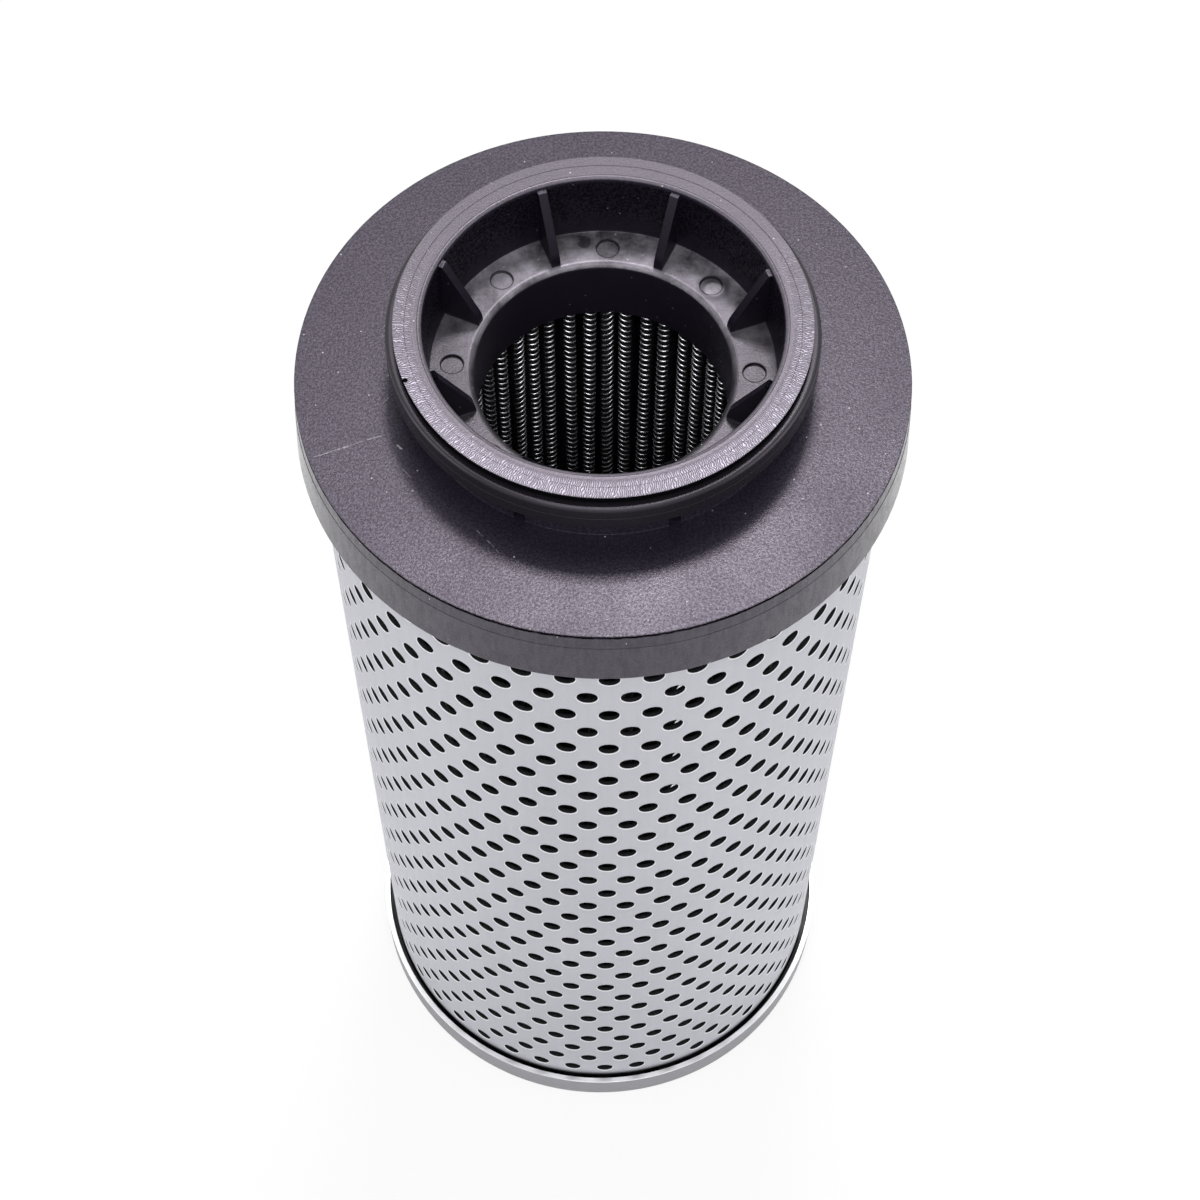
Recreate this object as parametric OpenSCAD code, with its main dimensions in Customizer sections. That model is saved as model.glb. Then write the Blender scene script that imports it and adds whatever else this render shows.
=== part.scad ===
// Return-line filter element: a pleated pack inside a perforated tube, closed by a moulded upper cap
// with a sealed neck and by a pressed metal foot. Oil enters the neck and leaves through the tube.
// Millimetres, +Z up. The origin is the centre of the foot's underside. The front is -Y.

/* [Element] */
// Height from the underside of the foot to the flat top of the upper cap
body_h = 181.5; // [100:0.5:200]

/* [Perforated tube] */
// Outside diameter of the tube
tube_d = 82.4; // [78:0.2:96]
// Thickness of the tube's sheet
sheet_t = 0.8; // [0.5:0.1:1.2]
// Diameter of each hole
hole_d = 3; // [2:0.1:3.6]
// Distance from one hole to its nearest neighbours
hole_pitch = 6; // [5.6:0.1:9]
// Plain margin from the lower end of the tube to the first row's centres
hole_margin = 4; // [2.2:0.1:6]
// Turn of the hole pattern from the front
hole_turn = 1.6; // [0:0.1:8]

/* [Upper cap] */
// Thickness of the flat disc
disc_t = 3; // [2:0.1:5]
// Height of the skirt below the top of the disc
skirt_h = 10.2; // [7:0.1:16]
// Wall of the skirt at its lower edge
skirt_wall = 1.8; // [1.2:0.1:3]
// Clearance between the skirt and the tube
skirt_gap = 0.7; // [0.4:0.1:1.2]
// How far the skirt's lower edge stands out from the edge of the disc
skirt_flare = 0.7; // [0.3:0.05:1]
// Height of the plain band at the top of the skirt
band_h = 2.9; // [1.5:0.1:4]
// Step between that band and the rest of the skirt
band_step = 0.05; // [0.05:0.05:0.3]
// Width and depth of the parting groove under the edge of the disc
parting_w = 0.45; // [0.2:0.05:0.8]

/* [Neck] */
// Height of the neck above the disc
neck_h = 11.2; // [9:0.1:18]
// Inside diameter of the neck at its rim
neck_in_d = 49.3; // [46:0.1:50.4]
// Draft of the neck's inner wall, rim to ledge, on the radius
neck_draft = 0.45; // [0:0.05:0.8]
// Outside diameter of the rim flange
flange_d = 57.2; // [56.4:0.1:62]
// Thickness of the rim flange
flange_t = 1.1; // [0.8:0.1:2]
// Rounding of the rim's inner edge
rim_round = 0.6; // [0.2:0.1:1]
// Outside diameter of the shoulder below the seal
shoulder_d = 54.5; // [54.2:0.1:58]
// Diameter of the seat that the seal is stretched over
seat_d = 52; // [51.4:0.1:54]
// Width of the slots in the shoulder, one in line with each rib
slot_w = 1.7; // [0.8:0.1:2.5]
// Depth of those slots
slot_depth = 1.5; // [0.4:0.1:1.6]

/* [Neck seal] */
// Outside diameter of the rubber seal
seal_d = 59.5; // [58:0.1:64]
// Height of the seal
seal_h = 4.4; // [3:0.1:6]
// Rounding of the seal's edges
seal_round = 0.6; // [0.5:0.1:1.4]
// Gap between the seal and the flange above it
seal_gap = 0.3; // [0.1:0.1:0.6]
// Clearance between the seal and its seat
seal_fit = 0.05; // [0.02:0.01:0.1]

/* [Inlet] */
// Diameter of the inlet bore
bore_d = 36; // [30:0.2:37]
// Rounding of the bore's upper edge
bore_round = 1; // [0.4:0.1:1.6]
// Depth of the bore's collar below the top of the disc
collar_depth = 11; // [8:0.1:16]
// Wall of the collar
collar_wall = 1.7; // [1.2:0.1:2.5]

/* [Ribs] */
// Number of ribs inside the neck
rib_count = 8; // [4:1:12]
// Thickness of each rib
rib_t = 1.3; // [0.8:0.1:2.5]
// Turn of the first rib from the front
rib_turn = 21; // [0:0.5:45]
// Distance from the rim down to the top of each rib
rib_drop = 0.7; // [0.4:0.1:3]
// Length of the flat at the top of each rib
rib_flat = 0.6; // [0.3:0.1:1.5]
// Distance from the bore to the inner end of each rib
rib_setback = 0.9; // [0.4:0.1:2.5]
// Height of the upright part of that end
rib_end_h = 0.3; // [0.2:0.1:3]
// Radius of the curve from that end into the rib's slope
rib_curve = 3.9; // [1:0.1:5]
// Diameter of the ejector marks on the ledge
mark_d = 3.2; // [2:0.1:4]
// Depth of the ejector marks
mark_depth = 0.45; // [0.1:0.05:0.6]

/* [Foot] */
// Thickness of the foot's sheet
foot_t = 0.9; // [0.6:0.1:1.5]
// Height of the foot's upturned rim
foot_h = 7; // [5:0.1:12]
// Gap between the tube and the foot's rim
foot_gap = 0.9; // [0.9:0.1:1.5]
// Radius inside the bend between floor and rim
foot_bend = 0.5; // [0.2:0.1:0.7]

/* [Potting] */
// Depth of adhesive under the pack
pot_low = 3; // [1.5:0.1:5]
// Depth of adhesive over the pack
pot_high = 2.5; // [1.5:0.1:5]
// Depth of adhesive in the gap between foot and tube
pot_ring = 3.2; // [1.5:0.1:4.5]
// Clearance left round the potting
pot_fit = 0.1; // [0.05:0.05:0.2]

/* [Pleated pack] */
// Thickness of each of the two wire meshes
mesh_t = 0.2; // [0.15:0.05:0.3]
// Thickness of each of the two fleeces
fleece_t = 0.1; // [0.05:0.05:0.2]
// Thickness of the filter medium
media_t = 0.3; // [0.2:0.05:0.45]
// Radius inside the sharpest fold
fold_r = 0.1; // [0.05:0.05:0.3]
// Space between neighbouring inner folds
fold_gap = 0.95; // [0.3:0.05:1.5]
// Clearance from the collar to the inner folds, and from the outer folds to the tube
pack_gap = 0.6; // [0.3:0.1:1.5]

/* [Hidden] */
$fn = 96;
eps = 0.5;

// Radii of the tube, the cap and the foot, from the tube outwards
tube_r = tube_d / 2;
tube_in_r = tube_r - sheet_t;
skirt_in_r = tube_r + skirt_gap;
skirt_r = skirt_in_r + skirt_wall;
disc_r = skirt_r - skirt_flare;
foot_in_r = tube_r + foot_gap;
foot_r = foot_in_r + foot_t;
foot_flat_r = foot_in_r - foot_bend;

// Radii of the neck and the inlet
neck_in_r = neck_in_d / 2;
ledge_r = neck_in_r - neck_draft;
flange_r = flange_d / 2;
shoulder_r = shoulder_d / 2;
seat_r = seat_d / 2;
bore_r = bore_d / 2;
collar_r = bore_r + collar_wall;
mark_at = (bore_r + ledge_r) / 2;

// Levels, from the foot upwards
disc_under = body_h - disc_t;
tube_len = disc_under - foot_t;
pack_low = foot_t + pot_low;
pack_high = disc_under - pot_high;
seal_high = body_h + neck_h - flange_t - seal_gap;
seal_low = seal_high - seal_h;

// The pattern of holes: rows in a 60 degree stagger, as many as fit
row_rise = hole_pitch * sqrt(3) / 2;
hole_cols = floor(2 * PI * (tube_r - sheet_t / 2) / hole_pitch);
hole_rows = floor((tube_len - 2 * hole_margin) / row_rise) + 1;
hole_step = 360 / hole_cols;

// The folds: layers are counted from the outflow side, so layer depths run from 0 to the stack's thickness
stack_t = 2 * mesh_t + 2 * fleece_t + media_t;
fold_out_r = fold_r + stack_t;
inner_fold_at = collar_r + pack_gap + fold_out_r;
outer_fold_at = tube_in_r - pack_gap - fold_out_r;
pleats = floor(2 * PI * inner_fold_at / (2 * fold_out_r + fold_gap));
fold_steps = 6;

function polar(r, a) = r * [cos(a), sin(a)];
function turned(p, a) = [p[0] * cos(a) - p[1] * sin(a), p[0] * sin(a) + p[1] * cos(a)];

// Points along a circular arc from angle a to angle b
function arc(centre, r, a, b, steps) =
  [for (k = [0 : steps]) centre + polar(r, a + (b - a) * k / steps)];

// Direction square to the leg between an inner and an outer fold, which touches both circles crosswise
function leg_normal() =
  let (inner = [inner_fold_at, 0],
       outer = polar(outer_fold_at, 180 / pleats),
       span = outer - inner,
       slant = asin((fold_r + fold_out_r) / norm(span)))
  atan2(span[1], span[0]) - slant + 90;

// Outline of the folded sheet at a depth s in the stack: one round fold inside and one outside per pleat
function fold_line(s) =
  let (side = leg_normal(), half = 180 / pleats)
  [for (k = [0 : pleats - 1])
    each [for (p = concat(
        arc([inner_fold_at, 0], fold_r + s, 360 - side, side, fold_steps),
        arc(polar(outer_fold_at, half), fold_out_r - s, side - 180, 2 * half - side + 180, fold_steps)))
      turned(p, 2 * half * k)]];

// One layer of the pleated pack, between two depths in the stack
module pleated_layer(from_depth, to_depth) {
  outside = fold_line(from_depth);
  inside = fold_line(to_depth);
  count = len(outside);
  translate([0, 0, pack_low])
    linear_extrude(pack_high - pack_low)
      polygon(
        points = concat(outside, inside),
        paths = [[for (i = [0 : count - 1]) i], [for (i = [0 : count - 1]) count + i]]);
}

// A plain ring
module ring(inner_r, outer_r, low, high) {
  translate([0, 0, low])
    difference() {
      cylinder(r = outer_r, h = high - low);
      translate([0, 0, -eps]) cylinder(r = inner_r, h = high - low + 2 * eps);
    }
}

// Moulded upper cap: disc, skirt, ledge, inlet collar and neck as one revolved section
module cap_section() {
  neck_top = body_h + neck_h;
  groove_top = neck_top - flange_t;
  groove_low = seal_low;
  band_r = disc_r + (skirt_r - disc_r - band_step) * band_h / skirt_h;
  rotate_extrude()
    polygon(concat(
      [[collar_r, disc_under],
       [collar_r, body_h - collar_depth],
       [bore_r, body_h - collar_depth]],
      arc([bore_r + bore_round, body_h - bore_round], bore_round, 180, 90, 6),
      [[ledge_r, body_h]],
      arc([neck_in_r + rim_round, neck_top - rim_round], rim_round, 180, 90, 5),
      [[flange_r, neck_top],
       [flange_r, groove_top],
       [seat_r, groove_top],
       [seat_r, groove_low],
       [shoulder_r, groove_low],
       [shoulder_r, body_h],
       [disc_r, body_h],
       [disc_r, body_h - parting_w / 2],
       [disc_r - parting_w / 2, body_h - parting_w],
       [disc_r, body_h - 1.5 * parting_w],
       [band_r, body_h - band_h],
       [band_r + band_step, body_h - band_h - band_step],
       [skirt_r, body_h - skirt_h],
       [skirt_in_r, body_h - skirt_h],
       [skirt_in_r, disc_under]]));
}

// Rib inside the neck: full height at the wall, falling straight to a low rounded end by the bore
module neck_rib() {
  root = (neck_in_r + seat_r) / 2;
  tip = bore_r + rib_setback;
  high = neck_h - rib_drop;
  flat_end = neck_in_r - rib_flat;
  centre = [tip + rib_curve, rib_end_h];
  reach = [flat_end, high] - centre;
  touch = atan2(reach[1], reach[0]) + acos(rib_curve / norm(reach));
  translate([0, rib_t / 2, body_h])
    rotate([90, 0, 0])
      linear_extrude(rib_t)
        polygon(concat(
          [[root, -disc_t / 2], [root, high], [flat_end, high]],
          arc(centre, rib_curve, touch, 180, 4),
          [[tip, -disc_t / 2]]));
}

module top_end_cap() {
  color([0.31, 0.3, 0.33])
    difference() {
      union() {
        cap_section();
        for (k = [0 : rib_count - 1])
          rotate([0, 0, rib_turn - 90 + 360 * k / rib_count])
            neck_rib();
      }
      for (k = [0 : rib_count - 1]) {
        rotate([0, 0, rib_turn - 90 + 360 * k / rib_count])
          translate([shoulder_r - slot_depth, -slot_w / 2, body_h])
            cube([slot_depth + eps, slot_w, seal_low - body_h + eps]);
        rotate([0, 0, rib_turn - 90 + 360 * (k + 0.5) / rib_count])
          translate([mark_at, 0, body_h - mark_depth])
            cylinder(d = mark_d, h = mark_depth + eps);
      }
    }
}

// Rubber seal in the groove below the flange, with rounded edges
module neck_seal() {
  inner_r = seat_r + seal_fit;
  outer_r = seal_d / 2;
  edge = seal_round;
  color([0.16, 0.16, 0.17])
    rotate_extrude()
      polygon(concat(
        arc([outer_r - edge, seal_low + edge], edge, -90, 0, 5),
        arc([outer_r - edge, seal_high - edge], edge, 0, 90, 5),
        [[inner_r, seal_high], [inner_r, seal_low]]));
}

// Support tube: a rolled sheet with holes in a 60 degree stagger. It has two flat strips per column of
// holes, so each hole sits across one fold line.
module tube_wall(r, low, high) {
  sides = 2 * hole_cols;
  translate([0, 0, low])
    linear_extrude(high - low)
      polygon([for (k = [0 : sides - 1]) polar(r, hole_turn - 90 + 360 * k / sides)]);
}

module perforated_tube() {
  color([0.74, 0.74, 0.76])
    difference() {
      tube_wall(tube_r, foot_t, disc_under);
      tube_wall(tube_in_r, foot_t - eps, disc_under + eps);
      for (row = [0 : hole_rows - 1])
        for (col = [0 : hole_cols - 1])
          rotate([0, 0, hole_turn - 90 + hole_step * (col + (row % 2 == 0 ? 0.5 : 0))])
            translate([tube_r - sheet_t - eps, 0, foot_t + hole_margin + row_rise * row])
              rotate([90, 0, 90])
                cylinder(d = hole_d, h = sheet_t + 2 * eps);
    }
}

// Foot: a pressed dish, one sheet with a bend between floor and rim
module bottom_end_cap() {
  color([0.72, 0.72, 0.74])
    rotate_extrude()
      polygon(concat(
        [[0, foot_t], [0, 0]],
        arc([foot_flat_r, foot_t + foot_bend], foot_t + foot_bend, -90, 0, 6),
        [[foot_r, foot_h], [foot_in_r, foot_h]],
        arc([foot_flat_r, foot_t + foot_bend], foot_bend, 0, -90, 6)));
}

// Adhesive at the lower end: under the pack, and in the gap between the tube and the foot's rim
module bottom_potting() {
  color([0.12, 0.12, 0.13]) {
    ring(collar_r, tube_in_r - pot_fit, foot_t, pack_low);
    rotate_extrude()
      polygon([
        [tube_r + pot_fit, foot_t],
        [foot_flat_r, foot_t],
        [foot_in_r - pot_fit, foot_t + foot_bend],
        [foot_in_r - pot_fit, foot_t + pot_ring],
        [tube_r + pot_fit, foot_t + pot_ring]]);
  }
}

// Adhesive at the upper end: between the disc and the pack, and in the gap between skirt and tube
module top_potting() {
  color([0.12, 0.12, 0.13]) {
    ring(collar_r + pot_fit, tube_in_r - pot_fit, pack_high, disc_under);
    ring(tube_r + pot_fit, skirt_in_r - pot_fit, disc_under - pot_ring, disc_under);
  }
}

module outer_support_mesh() {
  color([0.5, 0.5, 0.5])
    pleated_layer(0, mesh_t);
}

module outer_fleece() {
  color([0.85, 0.85, 0.82])
    pleated_layer(mesh_t, mesh_t + fleece_t);
}

module filter_media() {
  color([0.92, 0.92, 0.9])
    pleated_layer(mesh_t + fleece_t, mesh_t + fleece_t + media_t);
}

module inner_fleece() {
  color([0.85, 0.85, 0.82])
    pleated_layer(mesh_t + fleece_t + media_t, stack_t - mesh_t);
}

module inner_support_mesh() {
  color([0.4, 0.4, 0.4])
    pleated_layer(stack_t - mesh_t, stack_t);
}

top_end_cap();
neck_seal();
perforated_tube();
bottom_end_cap();
top_potting();
bottom_potting();
inner_support_mesh();
inner_fleece();
filter_media();
outer_fleece();
outer_support_mesh();
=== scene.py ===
"""Looks of a pleated filter element: a perforated tube between a moulded cap and a pressed foot.

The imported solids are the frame. This script dresses them, in metres and in the same frame: the origin is the
centre of the foot's underside, +Z runs up to the neck and the front of the photograph is -Y.
"""

import math

import bpy
import numpy as np
from mathutils import Matrix, Vector


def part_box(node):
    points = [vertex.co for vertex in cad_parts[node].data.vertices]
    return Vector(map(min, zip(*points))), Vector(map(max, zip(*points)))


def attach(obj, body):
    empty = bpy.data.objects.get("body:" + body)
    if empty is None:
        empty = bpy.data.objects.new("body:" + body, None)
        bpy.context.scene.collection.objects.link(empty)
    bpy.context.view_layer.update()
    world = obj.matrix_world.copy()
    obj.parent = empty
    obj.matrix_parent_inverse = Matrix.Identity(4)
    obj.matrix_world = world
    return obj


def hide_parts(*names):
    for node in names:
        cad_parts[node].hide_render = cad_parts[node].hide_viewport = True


bl_info = {
    "name": "Filter Element Looks",
    "version": (1, 0, 0),
    "blender": (4, 5, 0),
    "location": "View3D > Sidebar > Filter",
    "description": "Punches the tube, folds the pack, lays the wires and finishes every surface",
    "category": "Object",
}

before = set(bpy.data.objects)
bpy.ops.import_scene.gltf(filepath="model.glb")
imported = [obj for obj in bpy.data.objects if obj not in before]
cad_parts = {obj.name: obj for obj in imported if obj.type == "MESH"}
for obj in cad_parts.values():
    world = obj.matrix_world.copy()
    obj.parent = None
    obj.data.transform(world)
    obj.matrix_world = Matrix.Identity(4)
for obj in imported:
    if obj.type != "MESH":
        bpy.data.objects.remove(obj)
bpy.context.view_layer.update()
MM = 0.001

TUBE_LOW, TUBE_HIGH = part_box("perforated_tube")
PACK_LOW, PACK_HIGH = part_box("filter_media")
CAP_LOW, CAP_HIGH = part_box("top_end_cap")
SEAL_LOW, SEAL_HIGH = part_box("neck_seal")
FOOT_LOW, FOOT_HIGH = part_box("bottom_end_cap")

FRONT = -math.pi / 2
RIM_TOP = CAP_HIGH.z
DISC_TOP = RIM_TOP - 11.2 * MM


def length(name, description, default):
    return bpy.props.FloatProperty(name=name, description=description, default=default, unit="LENGTH",
                                   precision=5)


def colour(name, description, default):
    return bpy.props.FloatVectorProperty(name=name, description=description, default=default, size=3,
                                         subtype="COLOR", min=0.0, max=1.0)


def number(name, description, default):
    return bpy.props.FloatProperty(name=name, description=description, default=default)


class TubeSettings(bpy.types.PropertyGroup):
    """Sizes and colour of the perforated tube."""

    radius: length("Radius", "Outside radius of the tube", TUBE_HIGH.x)
    sheet: length("Sheet", "Thickness of the sheet", 0.8 * MM)
    hole: length("Hole", "Diameter of each hole", 3 * MM)
    spacing: length("Spacing", "Distance between neighbouring holes", 6 * MM)
    margin: length("Margin", "Height of the first row above the lower end", 4 * MM)
    turn: bpy.props.FloatProperty(name="Turn", description="Turn of the pattern from the front",
                                  default=math.radians(1.6), subtype="ANGLE")
    lip: length("Lip", "Width of the rounded lip that the punch leaves", 0.2 * MM)
    lip_depth: length("Lip depth", "Depth of that lip", 0.14 * MM)
    burr: length("Burr", "How far the nib that a worn punch leaves reaches into a hole", 1.2 * MM)
    burr_width: length("Burr width", "Width of that nib at the hole's edge", 0.5 * MM)
    metal: colour("Metal", "Colour of the matt tinned sheet", (0.52, 0.52, 0.57))
    shadow: colour("Shadow", "Colour of the sheet's inside and of the soiled walls of the holes",
                   (0.012, 0.012, 0.015))


class PackSettings(bpy.types.PropertyGroup):
    """Sizes of the pleated pack, from its inner folds to its outer ones."""

    inner: length("Inner", "Radius that the inner folds reach", 20.3 * MM)
    outer: length("Outer", "Radius that the outer folds reach", 39.8 * MM)
    mesh: length("Mesh", "Thickness of each wire mesh", 0.2 * MM)
    fleece: length("Fleece", "Thickness of each fleece", 0.1 * MM)
    medium: length("Medium", "Thickness of the filter medium", 0.3 * MM)
    fold: length("Fold", "Radius inside the sharpest fold", 0.1 * MM)
    pleats: bpy.props.IntProperty(name="Pleats", description="Number of pleats", default=45)
    sway: length("Sway", "How far the folds stray sideways", 0.45 * MM)
    wire: length("Wire", "Diameter of the support mesh's wires", 0.3 * MM)
    slant: length("Slant", "How far a wire climbs, at most, from one leg of a fold to the other", 2.2 * MM)
    wire_pitch: length("Wire pitch", "Distance between neighbouring wires", 1.29 * MM)
    flank: length("Flank", "How far each wire is followed down the pleat's sides", 2.2 * MM)
    wire_metal: colour("Wire metal", "Colour of the wires", (0.78, 0.77, 0.82))
    # Painted shade: the dark between the wires stands for the shaded layers behind
    shade: colour("Shade", "Colour between the wires", (0.007, 0.007, 0.008))


class CapSettings(bpy.types.PropertyGroup):
    """Colours of the moulded cap, the seal and the potting."""

    plastic: colour("Plastic", "Colour of the moulded cap", (0.0205, 0.016, 0.029))
    rubber: colour("Rubber", "Colour of the neck seal", (0.011, 0.0095, 0.0125))
    potting: colour("Potting", "Colour of the adhesive", (0.008, 0.008, 0.009))
    rim: colour("Rim", "Colour of the rim's tooled face", (0.11, 0.1, 0.12))
    ledge: colour("Ledge", "Colour of the ledge inside the neck", (0.07, 0.066, 0.075))
    worn: colour("Worn", "Colour of scratches", (0.34, 0.33, 0.36))
    strokes: bpy.props.IntProperty(name="Strokes", description="Tool marks round the rim's face", default=600)


class FootSettings(bpy.types.PropertyGroup):
    """Colour of the pressed foot."""

    metal: colour("Metal", "Colour of the pressed sheet", (0.36, 0.355, 0.38))
    # The crest colour is also a painted highlight along the rim's top
    crest: colour("Crest", "Colour of the bright cut edge on top of the rim", (0.98, 0.98, 0.99))


class StageSettings(bpy.types.PropertyGroup):
    """Camera and light."""

    distance_back: length("Back", "Distance of the camera in front of the axis", 199.9 * MM)
    height: length("Height", "Height of the camera above the foot", 460.6 * MM)
    pitch: bpy.props.FloatProperty(name="Pitch", description="Camera's angle below the horizon",
                                   default=math.radians(59.79), subtype="ANGLE")
    yaw: bpy.props.FloatProperty(name="Yaw", description="Camera's turn to the side",
                                 default=math.radians(-0.077), subtype="ANGLE")
    roll: bpy.props.FloatProperty(name="Roll", description="Camera's roll",
                                  default=math.radians(0.291), subtype="ANGLE")
    lens: number("Lens", "Focal length in millimetres on a 36 mm sensor", 73.56)
    floor: colour("Floor", "Colour of the floor", (0.93, 0.93, 0.93))


# Shader building

class Signal:
    """A number that varies over a surface: arithmetic on it adds Math nodes."""

    def __init__(self, finish, socket):
        self.finish = finish
        self.socket = socket

    def other(self, name):
        return Signal(self.finish, self.socket.node.outputs[name])

    def maths(self, operation, *values):
        return self.finish.add("ShaderNodeMath", {"operation": operation}, dict(enumerate(values)))

    def __add__(self, value):
        return self.maths("ADD", self, value)

    def __radd__(self, value):
        return self.maths("ADD", value, self)

    def __sub__(self, value):
        return self.maths("SUBTRACT", self, value)

    def __rsub__(self, value):
        return self.maths("SUBTRACT", value, self)

    def __mul__(self, value):
        return self.maths("MULTIPLY", self, value)

    def __rmul__(self, value):
        return self.maths("MULTIPLY", value, self)

    def __truediv__(self, value):
        return self.maths("DIVIDE", self, value)

    def __pow__(self, value):
        return self.maths("POWER", self, value)

    def size(self):
        return self.maths("ABSOLUTE", self)

    def wave(self):
        """Sine of the number, from -1 to 1."""
        return self.maths("SINE", self)

    def least(self, value):
        return self.maths("MAXIMUM", self, value)

    def most(self, value):
        return self.maths("MINIMUM", self, value)

    def above(self, edge, soft):
        """0 below the edge and 1 above it, with a smooth step of the given half width."""
        return self.finish.add("ShaderNodeMapRange", {"interpolation_type": "SMOOTHSTEP"},
                               {"Value": self, "From Min": edge - soft, "From Max": edge + soft})

    def between(self, low, high, soft):
        return self.above(low, soft) * (1 - self.above(high, soft))


class Graph:
    """A node tree while it is built. add() makes any node: its settings first, then its sockets."""

    def __init__(self, owner):
        owner.use_nodes = True
        self.tree = owner.node_tree
        self.tree.nodes.clear()

    def add(self, kind, settings, sockets, output=0):
        node = self.tree.nodes.new(kind)
        for name, value in settings.items():
            setattr(node, name, value)
        for key, value in sockets.items():
            if isinstance(value, Signal):
                self.tree.links.new(value.socket, node.inputs[key])
            else:
                node.inputs[key].default_value = value
        return Signal(self, node.outputs[output]) if node.outputs else None


class Finish(Graph):
    """A material whose patterns run on the object's own coordinates."""

    def __init__(self, name):
        self.material = bpy.data.materials.new(name)
        super().__init__(self.material)
        self.place = self.add("ShaderNodeTexCoord", {}, {}, "Object")

    def noise(self, scale, detail=3.0, roughness=0.5, at=None):
        """Cloudy noise from 0 to 1 around 0.5; scale is in waves per metre."""
        return self.add("ShaderNodeTexNoise", {},
                        {"Vector": at or self.place, "Scale": scale, "Detail": detail, "Roughness": roughness},
                        "Fac")

    def specks(self, scale, reach, at=None):
        """Small round dots, one per cell of a Voronoi grid: 1 inside, 0 outside."""
        far = self.add("ShaderNodeTexVoronoi", {"feature": "F1"},
                       {"Vector": at or self.place, "Scale": scale}, "Distance")
        return 1 - far.above(reach, reach * 0.4)

    def stretched(self, along, turn=(0.0, 0.0, 0.0), at=None):
        """Coordinates scaled by axis, so that a pattern runs long one way."""
        return self.add("ShaderNodeMapping", {},
                        {"Vector": at or self.place, "Rotation": turn, "Scale": along})

    def axes(self):
        """The object's own x, y and z as numbers."""
        x = self.add("ShaderNodeSeparateXYZ", {}, {"Vector": self.place}, "X")
        return x, x.other("Y"), x.other("Z")

    def polar(self):
        """Distance from the axis, angle about it and height."""
        x, y, z = self.axes()
        square = x * x + y * y
        return square.maths("SQRT", square), y.maths("ARCTAN2", y, x), z

    def spot(self, x, y, centre, reach):
        """1 within a distance of a point of the x-y plane, given in millimetres, and 0 outside."""
        dx, dy = x - centre[0] * MM, y - centre[1] * MM
        edge = (reach * MM) ** 2
        return 1 - (dx * dx + dy * dy).above(edge, edge * 0.4)

    def streak(self, x, y, start, end, width):
        """1 on a thin line between two points of the x-y plane, given in millimetres, and 0 beside it."""
        start, end = Vector(start) * MM, Vector(end) * MM
        span = (end - start).length
        way = (end - start) / span
        along = (x - start.x) * way.x + (y - start.y) * way.y
        across = (x - start.x) * way.y - (y - start.y) * way.x
        half = width * MM / 2
        return (1 - across.size().above(half, half / 2)) * along.between(0, span, span * 0.15)

    def blend(self, first, second, share):
        """Colour between first and second by a share from 0 to 1."""
        return self.add("ShaderNodeMix", {"data_type": "RGBA"}, {0: share, 6: first, 7: second}, 2)

    def tint(self, shade, strength):
        """A colour multiplied by a number."""
        grey = self.add("ShaderNodeCombineXYZ", {}, {0: strength, 1: strength, 2: strength})
        return self.add("ShaderNodeVectorMath", {"operation": "MULTIPLY"}, {0: shade[:3], 1: grey})

    def rounded(self, radius):
        """Normal as if edges were rounded by this radius."""
        return self.add("ShaderNodeBevel", {"samples": 4}, {"Radius": radius})

    def bump(self, height, depth, over=None):
        """Normal of a relief; height is from 0 to 1 and depth is its size in metres."""
        sockets = {"Height": height, "Distance": depth, "Strength": 1.0}
        if over is not None:
            sockets["Normal"] = over
        return self.add("ShaderNodeBump", {}, sockets)

    def close(self, painted_shade_and_marks=None, **values):
        """Joins a Principled shader to the output, dull black where the first mask is 1; that black is painted
        shade, and in places a dark mark.

        Names are the shader's sockets' with _ for a space."""
        shader = self.add("ShaderNodeBsdfPrincipled", {},
                          {name.replace("_", " "): value for name, value in values.items()})
        if painted_shade_and_marks is not None:
            black = self.add("ShaderNodeBsdfPrincipled", {},
                             {"Base Color": SHADE_AND_MARK_BLACK, "Roughness": 1.0, "Specular IOR Level": 0.0})
            shader = self.add("ShaderNodeMixShader", {}, {0: painted_shade_and_marks, 1: shader, 2: black})
        self.add("ShaderNodeOutputMaterial", {}, {"Surface": shader})
        return self.material


# Materials

# The cap's radii: its bore, the neck's inside, the flange and the skirt
BORE_WALL = 18 * MM
NECK_WALL = 24.65 * MM
FLANGE = 28.6 * MM
SKIRT_WALL = 43.7 * MM

# The parting line under the disc's edge, painted dark as shade in its groove with a ragged edge like flash, and
# the ring of ejector marks on the ledge, outlined in painted shade
EDGE_TOP = DISC_TOP - 0.12 * MM
EDGE_LOW = DISC_TOP - 0.66 * MM
MARK_RADIUS = 21.1 * MM
MARK_SIZE = 1.65 * MM
FIRST_MARK = FRONT + math.radians(43.5)
MARK_STEP = math.radians(45)

# Scratches on the disc: start, end, width in millimetres, and strength
SCRATCHES = (((-39.3, -15.1), (-29.7, -11.3), 0.15, 0.6),
             ((-36.2, -14.0), (-34.8, -13.4), 0.3, 0.5),
             ((-28.1, -13.0), (-27.5, -13.8), 0.22, 1.6),
             ((-27.2, -17.0), (-26.0, -18.4), 0.12, 0.5),
             ((-30.4, -6.3), (-29.6, -5.1), 0.12, 0.5),
             ((-16.8, -26.6), (-13.8, -30.0), 0.12, 0.7),
             ((-20.2, -31.0), (-16.4, -29.3), 0.1, 0.4),
             ((-11.4, -31.4), (-9.9, -32.8), 0.1, 0.5),
             ((28.5, -8.0), (30.2, -3.4), 0.12, 0.3))

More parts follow.
